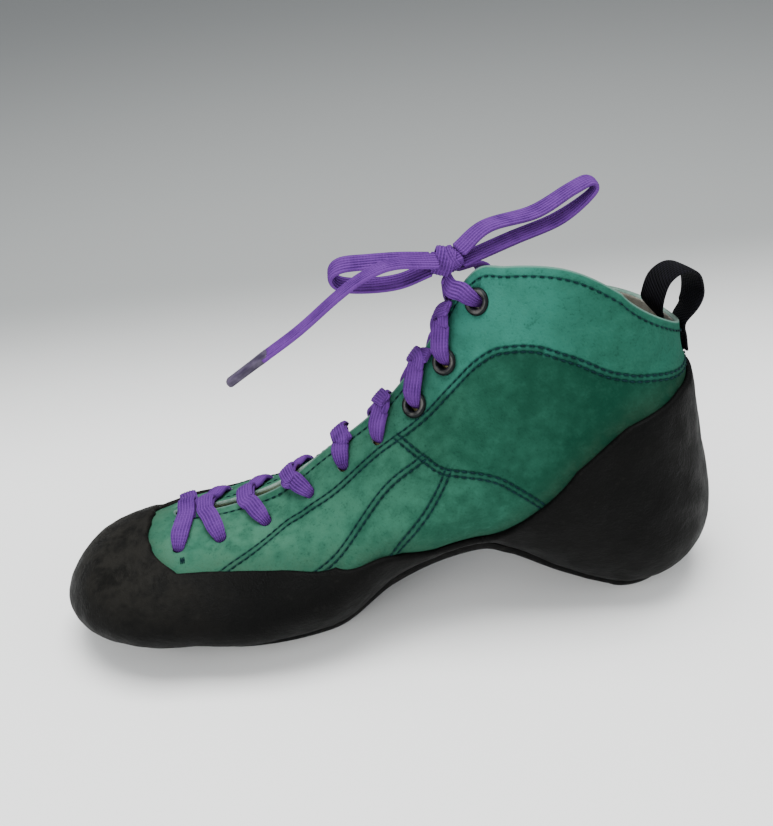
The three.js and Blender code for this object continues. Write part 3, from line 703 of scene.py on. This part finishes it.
for name, rows, node in (("bow_loop_front", FRONT_LOOP, "lace_loop_front"),
                         ("bow_loop_back", BACK_LOOP, "lace_loop_back")):
    loop = lace_piece(name, [lace_route(rows)], LACE, LACE_WIDTH)
    stand_for(loop, "lace", node)
    name_cord(rows)

for name, rows, node, tip_node in (("bow_end_front", FRONT_END, "lace_end_front", "aglet_front"),
                                   ("bow_end_back", BACK_END, "lace_end_back", "aglet_back")):
    end = lace_piece(name, [lace_route(rows, .9)], LACE, LACE_WIDTH)
    last, before = np.array(rows[-1][:3]), np.array(rows[-2][:3])
    way = unit(last - before)
    tip_route = ([last + way * on for on, _, _ in AGLET_TAPER], [rows[-1][3:]] * len(AGLET_TAPER),
                 [scales for _, *scales in AGLET_TAPER], False)
    tip = lace_piece(name.replace("end", "aglet"), [tip_route], AGLET, AGLET_WIDTH, 0, AGLET_THICKNESS)
    stand_for(end, "lace", node)
    stand_for(tip, "aglet", tip_node)
    name_cord(rows)


# ---- Lace through the holes

def lace_holes():
    holes = {}
    for side in (1, -1):
        for row, (share, outer_inset, inner_inset) in enumerate(HOLES):
            u = rib_on(side, share)
            holes[side, row] = (u, below(u, outer_inset if side > 0 else inner_inset))
    return holes


HOLE_PLACES = lace_holes()

# The bend of a strap at its hole, from inside: height over the leather, share of the strap's rise,
# way toward the throat, how far its face looks out and toward the throat, width and thickness
STRAP_BEND = [
    (-.0050, 0, 0, 0, -1, .62, 1.1), (-.0022, 0, 0, 0, -1, .62, 1.2),
    (0, .1, .0007, .4, -1, .72, 1.3), (0, .8, .0026, 1, -.4, .92, 1.3),
    (.0006, 1, .0053, 1, 0, 1.03, 1.25),
]


def strap_route(side, row):
    """From inside the hole, up over the throat edge, across the middle and under the other edge."""
    u, s = HOLE_PLACES[side, row]
    share = HOLES[row][0]
    clear = STRAP_CLEARANCE[row] * .6
    ringed = row >= FIRST_RINGED_ROW
    rise = clear + LACE_THICKNESS / 2 + (EYELET_SEAT + EYELET_FLANGE * .5 if ringed else 0)
    crossing = CROSSINGS[row]
    edge = rib_on(side, crossing)
    tops = [offset(rib_on(k, crossing), 1.0, STRAP_CLEARANCE[row] + LACE_THICKNESS) for k in (1, -1)]
    middle = (tops[0] + tops[1]) / 2
    up = unit(outward(rib_on(1, share), 1.0) + outward(rib_on(-1, share), 1.0))
    out = outward(u, s)
    toward = unit(offset((u + edge) / 2, (s + 1) / 2, 0) - skin(u, s))
    dive = skin(u, s)
    points, faces, scales = [], [], []
    for height, risen, on, face_out, face_on, wide, thick in STRAP_BEND:
        points.append(dive + out * (height + rise * risen) + toward * on)
        faces.append(out * face_out + toward * face_on)
        scales.append((wide, thick))
    if row == len(HOLES) - 1:
        foot = np.array(KNOT_FOOT)
        points += [points[-1] * .5 + foot * .5 + out * clear, foot + np.array([0, 0, .003])]
        faces += [up * .6 + out * .4, up]
        scales += [(1, 1), (.8, 1)]
        return points, faces, scales, False
    points += [offset((u * .3 + edge * .7), s * .3 + .7, rise), offset(edge, .985, rise + .0004)]
    faces += [outward((u + edge) / 2, (s + 1) / 2), outward(edge, 1.0) * .5 + up * .5]
    scales += [(1.04, 1.25), (1.02, 1.2)]
    over = .0010 if (row + (side > 0)) % 2 else -.0009
    reach = (middle - points[-1])
    points += [middle + up * over, middle + reach * .75 + up * (over - .0022),
               middle + reach * 1.25 + up * (over - .0050)]
    faces += [up, up + unit(reach) * .5, up + unit(reach)]
    scales += [(1, 1), (.95, 1), (.85, 1)]
    return points, faces, scales, False


straps = [strap_route(side, row) for row in range(len(HOLES)) for side in (1, -1)]
lacing = lace_piece("laced_straps", straps, LACE, STRAP_WIDTH)
stand_for(lacing, "lace", "lace_bar", *[f"lace_crossing_{k}" for k in range(2, len(HOLES) + 1)])


# ---- The suede upper

def seam_line(places, spacing):
    """Points, outward ways, sideways ways and run of a seam given as rib places and shares."""
    fine = smooth_rows(np.array(places, float), 60)
    run = run_along(skin(fine[:, 0], fine[:, 1]))
    u, s = read_off(np.arange(0, run[-1], spacing), run, fine).T
    points, out = skin(u, s), outward(u, s)
    tangents = unit(np.gradient(points, axis=0))
    return points, out, unit(np.cross(out, tangents)), tangents


def away_from(line, points):
    """How far points lie to the side of a seam, with a sign, and how far from it in all."""
    places, _, sides, _ = line
    flat = points.reshape(-1, 3)
    aside, distance = np.empty(len(flat)), np.empty(len(flat))
    for start in range(0, len(flat), 4000):
        part = flat[start:start + 4000]
        nearest = ((part[:, None] - places[None]) ** 2).sum(-1).argmin(1)
        gap = part - places[nearest]
        aside[start:start + 4000] = (gap * sides[nearest]).sum(-1)
        distance[start:start + 4000] = np.linalg.norm(gap, axis=-1)
    shape = points.shape[:-1]
    return aside.reshape(shape), distance.reshape(shape)


def near_seam(aside, distance):
    """One along a seam, and nothing beyond its ends or well away from it."""
    past = np.sqrt(np.maximum(distance ** 2 - aside ** 2, 0))
    return np.clip((.0024 - past) / .001, 0, 1) * np.clip((.0075 - distance) / .002, 0, 1)


SEAM_LINES = {name: seam_line(places, .001) for name, places in SEAMS.items()}
UPPER_COLUMNS_PER_RIB, UPPER_RINGS = 16, 76


def crease_depth(points):
    total = np.zeros(points.shape[:-1])
    for places, depth, half in CREASES:
        total -= depth * np.exp(-(away_from(seam_line(places, .001), points)[1] / half) ** 2)
    return total


def lumps_at(points, crowding, height):
    """Smooth random lumps: how many there are to a metre, and how high."""
    flat = points.reshape(-1, 3)
    return np.array([height * noise.noise(Vector(p) * crowding) for p in flat]).reshape(points.shape[:-1])


def hide_lumps(points):
    return lumps_at(points, 70, .00045)


def sew_upper():
    columns = RIB_COUNT * UPPER_COLUMNS_PER_RIB
    u = np.repeat(np.linspace(0, RIB_COUNT, columns + 1)[:, None], UPPER_RINGS, 1)
    s = np.repeat(np.linspace(0, 1, UPPER_RINGS)[None], columns + 1, 0)
    bare, out = skin(u, s), outward(u, s)
    rise = crease_depth(bare)
    fields = {}
    for name, line in SEAM_LINES.items():
        aside, distance = away_from(line, bare)
        near = near_seam(aside, distance)
        fields["seam_" + name], fields["near_" + name] = aside, near
        ridge = .00030 * np.exp(-(aside / .0022) ** 2)
        ditch = .00022 * np.exp(-((np.abs(aside) - .0034) / .0016) ** 2)
        rise += (ridge - ditch) * near
    steps = np.linalg.norm(np.diff(bare, axis=1), axis=-1)
    lengths = np.concatenate([np.zeros((columns + 1, 1)), np.cumsum(steps, axis=1)], 1)
    fields["edge"] = lengths[:, -1:] - lengths
    rubber_share = rib_at(u[:, 0])[:, RUBBER]
    rubber_run = np.array([np.interp(e, s[0], row) for e, row in zip(rubber_share, lengths)])
    fields["sole_line"] = lengths - rubber_run[:, None]
    long_share = np.interp(u, *np.array(SEAMS["long"][::-1]).T)
    cross_rib = np.interp(s, *np.array(SEAMS["cross"][::-1])[:, ::-1].T)
    outer = u < HEEL_RIB
    fold = np.where(outer, u, RIB_COUNT - u)
    inner_share = np.interp(u, *np.array(SEAMS["inner"]).T)
    upper_part = np.where(outer, s > long_share, s > inner_share)
    ankle = np.clip((fold - 7.2) / 1.6, 0, 1)
    fields["collar"] = np.where(upper_part, ankle, 0.0)
    fields["quarter"] = np.where(~upper_part & (fold > cross_rib), 1.0, 0.0)
    fields["vamp"] = np.clip(1 - (fold - 3) / 6, 0, 1)
    fields["sewn"] = np.clip((fold - 2.1) / .3, 0, 1)
    rise += hide_lumps(bare)
    rise *= np.clip(fields["edge"] / .002, .35, 1)
    rise[-1] = rise[0]
    points = bare + out * rise[..., None]
    bm = bmesh.new()
    lay_grid(bm, points, fields)
    punch_holes(bm)
    if mean_lean(bm) < 0:
        bmesh.ops.reverse_faces(bm, faces=bm.faces)
    piece = finish_piece(bm, "suede_upper", SUEDE, LINING, RAW_EDGE)
    wall = piece.modifiers.new("wall", "SOLIDIFY")
    wall.thickness = WALL
    wall.offset = -1
    wall.material_offset = 1
    wall.material_offset_rim = 2
    return piece


def mean_lean(bm):
    """Whether the faces look away from the spine, as a mean."""
    total = 0
    for face in bm.faces:
        middle = face.calc_center_median()
        axis = Vector((min(max(middle.x, 0), SPINE), 0, INSTEP_HEIGHT * .3))
        total += face.normal.dot((middle - axis).normalized()) * face.calc_area()
    return total


def punch_holes(bm):
    for (side, row), (u, s) in HOLE_PLACES.items():
        radius = RINGED_HOLE_RADIUS if row >= FIRST_RINGED_ROW else HOLE_RADIUS
        centre, out = Vector(skin(u, s)), Vector(outward(u, s))
        near = [v for v in bm.verts if (v.co - centre).length < radius * 2.4]
        inside = {v for v in near if (v.co - centre).length < radius * .98}
        gone = [f for f in {f for v in inside for f in v.link_faces}
                if sum(v in inside for v in f.verts) >= 2]
        bmesh.ops.delete(bm, geom=gone, context="FACES")
        for v in [v for v in near if v.is_valid and v.is_boundary]:
            gap = v.co - centre
            flat = gap - out * gap.dot(out)
            if flat.length > 1e-5 and (v.co - centre).length < radius * 2:
                v.co += flat.normalized() * (radius - flat.length)
        loose = [v for v in near if v.is_valid and not v.link_faces]
        bmesh.ops.delete(bm, geom=loose, context="VERTS")


stand_for(sew_upper(), "suede", "upper")


# ---- Rubber

def sole_start(u, distance):
    """The share of each rib at which its offset skin stands on the sole."""
    low, high = np.zeros_like(u), np.full_like(u, STOPS[1])
    ahead = skin(u + .05, 0 * u) - skin(u - .05, 0 * u)
    slope = ahead[:, 2] / np.hypot(ahead[:, 0], ahead[:, 1])
    ahead[:, 2] = 0
    ahead = unit(ahead)
    floor = skin(u, 0 * u)[:, 2] + GAP / 2
    for _ in range(30):
        middle = (low + high) / 2
        place = offset(u, middle, distance)
        shift = ((place - skin(u, middle)) * ahead).sum(-1)
        under = place[:, 2] < floor + slope * shift
        low, high = np.where(under, middle, low), np.where(under, high, middle)
    return high


RAND_OUT = GAP + RUBBER_THICKNESS
RAND_LIP = [(.0030, 1.00), (.0016, .97), (.0009, .90), (.0004, .76), (.0001, .55), (0, .30), (.0002, .04)]
RAND_WRINKLE, RAND_SWELL = .00022, .00035
RAND_ROWS, RAND_COLUMNS_PER_RIB, PLATE_COLUMNS_PER_RIB = 22, 14, 12


def wrap_rand(name, start, end, node):
    """A rubber rand between two ribs, from the sole up to a rounded lip."""
    count = round((end - start) * RAND_COLUMNS_PER_RIB)
    places = np.linspace(start, end, count + 1)
    rows = []
    low = sole_start(places, RAND_OUT)
    for u, first in zip(places, low):
        shares, lengths = rib_lengths(u)
        edge = float(np.interp(rib_at(u)[RUBBER], shares, lengths))
        foot = float(np.interp(first, shares, lengths))
        runs = [foot + (edge - RAND_LIP[0][0] - foot) * k / RAND_ROWS for k in range(RAND_ROWS)]
        runs += [edge - d for d, _ in RAND_LIP]
        runs += [foot + (edge - foot) * k / 4 for k in (3, 2, 1, 0)]
        heights = np.array([1.0] * RAND_ROWS + [h for _, h in RAND_LIP] + [RAND_LIP[-1][1]] * 4)
        share = np.interp(runs, lengths, shares)
        around = np.full(len(runs), u)
        bare = skin(around, share)
        lumps = lumps_at(bare, 60, RAND_SWELL) + lumps_at(bare, 230, RAND_WRINKLE)
        rise = RAND_OUT * heights + np.where(heights > .5, lumps, 0)
        section = bare + outward(around, share) * rise[:, None]
        rows.append(np.vstack([section, section[:1]]))
    stand_for(grid_piece(name, cap_ends(np.array(rows)), RUBBER_SKIN), "rubber", node)


wrap_rand("toe_rubber", -ARCH_RIB, ARCH_RIB, "toe_rand")
wrap_rand("heel_rubber", ARCH_RIB, RIB_COUNT - ARCH_RIB, "heel_rand")


def lay_plate(name, profile, material, node, slot):
    """A plate over the spine of the last. The profile gives reach and height from the ground line."""
    columns = RIB_COUNT * PLATE_COLUMNS_PER_RIB
    u = np.linspace(0, RIB_COUNT, columns + 1)
    ribs = rib_at(u)
    straight = np.clip(np.minimum(u, RIB_COUNT - u), TOE_PIVOT, HEEL_PIVOT)
    middle = (rib_at(straight)[:, LIFT] + rib_at(-straight)[:, LIFT]) / 2
    rim = offset(u, sole_start(u, RAND_OUT), RAND_OUT)
    wide = np.hypot(rim[:, 0] - ribs[:, PLACE], rim[:, 1])
    rows = []
    for k in range(columns + 1):
        section = []
        for reach, height in profile(ribs[k][FOOT], wide[k]):
            share = min(reach / (wide[k] - SOLE_BEVEL), 1)
            ground = middle[k] + (ribs[k][LIFT] - middle[k]) * share
            angle = ribs[k][ANGLE]
            x, y = ribs[k][PLACE] + reach * math.cos(angle), reach * math.sin(angle)
            section.append((x, y, ground + height))
        rows.append(section)
    rows[-1] = rows[0]
    stand_for(grid_piece(name, np.array(rows), material, 1e-5), slot, node)


SOLE_EDGE = [(0, 1.0), (-.0001, .93), (0, .85), (-.0003, .66), (-.0009, .45), (-.0017, .26), (-.0026, .11),
             (-.0036, .02), (-.0050, 0)]
INSOLE_THICKNESS, INSOLE_INSET, INSOLE_LIFT = .0018, .0024, .0001
INSOLE_EDGE = [(-.0008, INSOLE_THICKNESS), (-.0002, .0015), (0, .0010), (0, INSOLE_LIFT)]


def sole_profile(foot, wide):
    top = [(foot * k / 3, SOLE_THICKNESS) for k in (0, 1, 2)] + [(wide - .0008, SOLE_THICKNESS)]
    side = [(wide + inset, SOLE_THICKNESS * h) for inset, h in SOLE_EDGE]
    return top + side + [((wide - .0050) * k / 5, 0) for k in (4, 3, 2, 1, 0)]


def insole_profile(foot, wide):
    rim = foot - INSOLE_INSET
    base = SOLE_THICKNESS + GAP
    top = [(rim * k / 6, base + INSOLE_THICKNESS) for k in range(6)]
    side = [(rim + inset, base + height) for inset, height in INSOLE_EDGE]
    return top + side + [(0, base + INSOLE_LIFT)]


lay_plate("sole_plate", sole_profile, SOLE_SKIN, "outsole", "rubber")
lay_plate("insole_board", insole_profile, INSOLE_SKIN, "insole", "lining")


# ---- Tongue

TONGUE_FROM, TONGUE_TO, TONGUE_REACH = .97, .31, (.015, .011, .007, .0035, 0)
TONGUE_DEPTH, TONGUE_THICKNESS = .0044, .0018
TONGUE_STATIONS, TONGUE_COLUMNS = 90, 31


def cut_tongue():
    rows = []
    for k in range(TONGUE_STATIONS + 1):
        share = TONGUE_FROM + (TONGUE_TO - TONGUE_FROM) * k / TONGUE_STATIONS
        halves = []
        for side in (1, -1):
            u = rib_on(side, share)
            halves.append([offset(u, below(u, reach), -TONGUE_DEPTH) for reach in TONGUE_REACH])
        points = np.array(halves[0] + [(halves[0][-1] + halves[1][-1]) / 2] + halves[1][::-1])
        run = run_along(points)
        top = read_off(np.linspace(0, run[-1], TONGUE_COLUMNS), run, points)
        across = unit(np.gradient(top, axis=0))
        forward = unit(skin(rib_on(1, share - .02), 1.0) - skin(rib_on(1, share + .02), 1.0))
        down = unit(np.cross(across, np.repeat(forward[None], len(top), 0)))
        down *= np.where(down[:, 2:] > 0, -1, 1)
        ripple = lumps_at(top, 160, .0007) + lumps_at(top, 420, .0003)
        top = top + down * ripple[:, None]
        rows.append(np.vstack([top, (top + down * TONGUE_THICKNESS)[::-1], top[:1]]))
    return grid_piece("tongue_leather", cap_ends(np.array(rows)), TONGUE_SKIN)


stand_for(cut_tongue(), "lining", "tongue")


# ---- Eyelets

def press_eyelets():
    profile = [(EYELET_BORE, -WALL), (EYELET_BORE + .0003, -WALL - .0004), (.0028, -WALL), (.0029, .0002),
               (EYELET_RADIUS - .0002, .0001), (EYELET_RADIUS, .0004), (EYELET_RADIUS - .0003, .0009),
               (.0040, .0014), (.0033, .0014), (.0027, .0009), (EYELET_BORE, .0001)]
    bm = bmesh.new()
    wear = bm.verts.layers.float.new("wear")
    for (side, row), (u, s) in HOLE_PLACES.items():
        if row < FIRST_RINGED_ROW:
            continue
        ring = [bm.verts.new((x, 0, z)) for x, z in profile]
        edges = [bm.edges.new(pair) for pair in zip(ring, ring[1:] + ring[:1])]
        made = bmesh.ops.spin(bm, geom=ring + edges, cent=(0, 0, 0), axis=(0, 0, 1), angle=2 * math.pi,
                              steps=36, use_merge=True)
        fresh = [v for v in bm.verts if v[wear] == 0]
        for v in fresh:
            v[wear] = 1.0 if v.co.z > .0011 else .55 if v.co.xy.length < .0027 else .3
        turn = Vector(outward(u, s)).to_track_quat("Z", "Y").to_matrix().to_4x4()
        place = Matrix.Translation(Vector(offset(u, s, .0002))) @ turn
        bmesh.ops.transform(bm, matrix=place, verts=fresh)
    bmesh.ops.remove_doubles(bm, verts=bm.verts, dist=1e-6)
    bmesh.ops.recalc_face_normals(bm, faces=bm.faces)
    return finish_piece(bm, "ring_eyelets", GUNMETAL)


eyelet_nodes = [f"eyelet_{side}_{k}" for side in ("outer", "inner") for k in (7, 8, 9)]
stand_for(press_eyelets(), "eyelet", *eyelet_nodes)


# ---- Pull loop

def bend_pull_loop():
    seat = GAP + LOOP_THICKNESS / 2
    turn = math.radians(LOOP_TWIST)
    points, faces = [], []
    tails = [below(HEEL_RIB, d) for d in (LOOP_TAIL, LOOP_TAIL / 2, .001)]
    for s in tails:
        points.append(offset(HEEL_RIB, s, seat))
        faces.append(outward(HEEL_RIB, s))
    for degrees, twist in LOOP_BENDS:
        angle = math.radians(degrees)
        face = np.array([math.cos(angle) * math.cos(turn * twist), math.cos(angle) * math.sin(turn * twist),
                         math.sin(angle)])
        points.append(face * LOOP_RADIUS + np.array(LOOP_CENTRE))
        faces.append(face)
    for s in tails[::-1]:
        points.append(offset(HEEL_RIB, s, -WALL - seat - LOOP_EASE))
        faces.append(-outward(HEEL_RIB, s))
    route = (points, faces, None, False)
    return lace_piece("webbing_loop", [route], WEBBING, LOOP_WIDTH, 0, LOOP_THICKNESS, LOOP_STEP)


stand_for(bend_pull_loop(), "webbing", "pull_loop")


# ---- Stitching

STITCH_PITCH, STITCH_LENGTH, STITCH_RADIUS, STITCH_BATCH = .0029, .0023, .00032, 40


def add_stitch(bm, place, along, out, length=STITCH_LENGTH):
    side = unit(np.cross(out, along))
    columns = (along * length / 2, side * STITCH_RADIUS, out * STITCH_RADIUS, place)
    turn = Matrix([*np.stack(columns, 1).tolist(), (0, 0, 0, 1)])
    bmesh.ops.create_uvsphere(bm, u_segments=6, v_segments=4, radius=1, matrix=turn)


def sew_threads():
    stitches = []
    for name, places in SEAMS.items():
        points, out, sides, along = seam_line(places, STITCH_PITCH)
        rise = crease_depth(points) + hide_lumps(points) + .0003
        for k, point in enumerate(points):
            for row in SEAM_ROWS:
                stitches.append((point + sides[k] * row + out[k] * rise[k], along[k], out[k]))
    edge = np.array([(u, below(u, EDGE_STITCH)) for u in np.linspace(0, RIB_COUNT, 500)])
    line = skin(edge[:, 0], edge[:, 1])
    run = run_along(line)
    for at in np.arange(0, run[-1], STITCH_PITCH):
        u, s = read_off(at, run, edge)
        ahead = read_off(at + STITCH_PITCH / 2, run, line) - read_off(at - STITCH_PITCH / 2, run, line)
        if min(u, RIB_COUNT - u) > 2.2:
            place = offset(u, s, .0001 + hide_lumps(skin(u, s)))
            stitches.append((place, unit(ahead), outward(u, s), STITCH_LENGTH * .9))
    for u in (TACK_PLACE[0], RIB_COUNT - TACK_PLACE[0]):
        s = TACK_PLACE[1]
        out = outward(u, s)
        ahead = unit(skin(u + .05, s) - skin(u - .05, s))
        for shift in (-TACK_PITCH, 0, TACK_PITCH):
            place = offset(u, s, .0001) + ahead * shift
            stitches.append((place, unit(np.cross(ahead, out)), out, TACK_LENGTH))
    whole = bmesh.new()
    for start in range(0, len(stitches), STITCH_BATCH):
        bm = bmesh.new()
        for stitch in stitches[start:start + STITCH_BATCH]:
            add_stitch(bm, *stitch)
        bmesh.ops.recalc_face_normals(bm, faces=bm.faces)
        batch = bpy.data.meshes.new("stitches")
        bm.to_mesh(batch)
        bm.free()
        whole.from_mesh(batch)
        bpy.data.meshes.remove(batch)
    return finish_piece(whole, "seam_threads", THREAD)


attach(sew_threads(), "root")


# ---- Floor and light

def floor_material():
    s = Shade("pale_floor")
    # The floor fades to grey behind the shoe: painted shade standing in for a dim back wall.
    away = s.cloud(.20, 2, .4) * .02 - s.along(1)
    colour = s.blend((.93, .935, .92), (.30, .31, .305), s.between(away, .09, .36))
    return s.dressed(colour, .6, .3)


def lay_floor():
    bm = bmesh.new()
    bmesh.ops.create_grid(bm, x_segments=2, y_segments=2, size=2.5, matrix=Matrix.Translation((0, 0, -.0001)))
    finish_piece(bm, "floor", floor_material())


def hang_light(name, place, aim, size, power):
    light = bpy.data.lights.new(name, "AREA")
    light.shape = "RECTANGLE"
    light.size, light.size_y = size
    light.energy = power
    lamp = bpy.data.objects.new(name, light)
    way = (Vector(aim) - Vector(place)).to_track_quat("-Z", "Y").to_matrix().to_4x4()
    lamp.matrix_world = Matrix.Translation(place) @ way
    bpy.context.scene.collection.objects.link(lamp)


lay_floor()
hang_light("soft_top", (.08, -.04, 1.1), (.09, 0, .05), (.75, .65), 20)
hang_light("soft_front", (.55, .75, .55), (.09, 0, .05), (.7, .6), 6.5)
hang_light("soft_side", (-.7, .35, .45), (.09, 0, .06), (.6, .6), 2.8)
world = bpy.data.worlds.new("studio")
world.use_nodes = True
backdrop = world.node_tree.nodes["Background"].inputs
backdrop["Color"].default_value = (.93, .96, 1, 1)
backdrop["Strength"].default_value = .55
bpy.context.scene.world = world
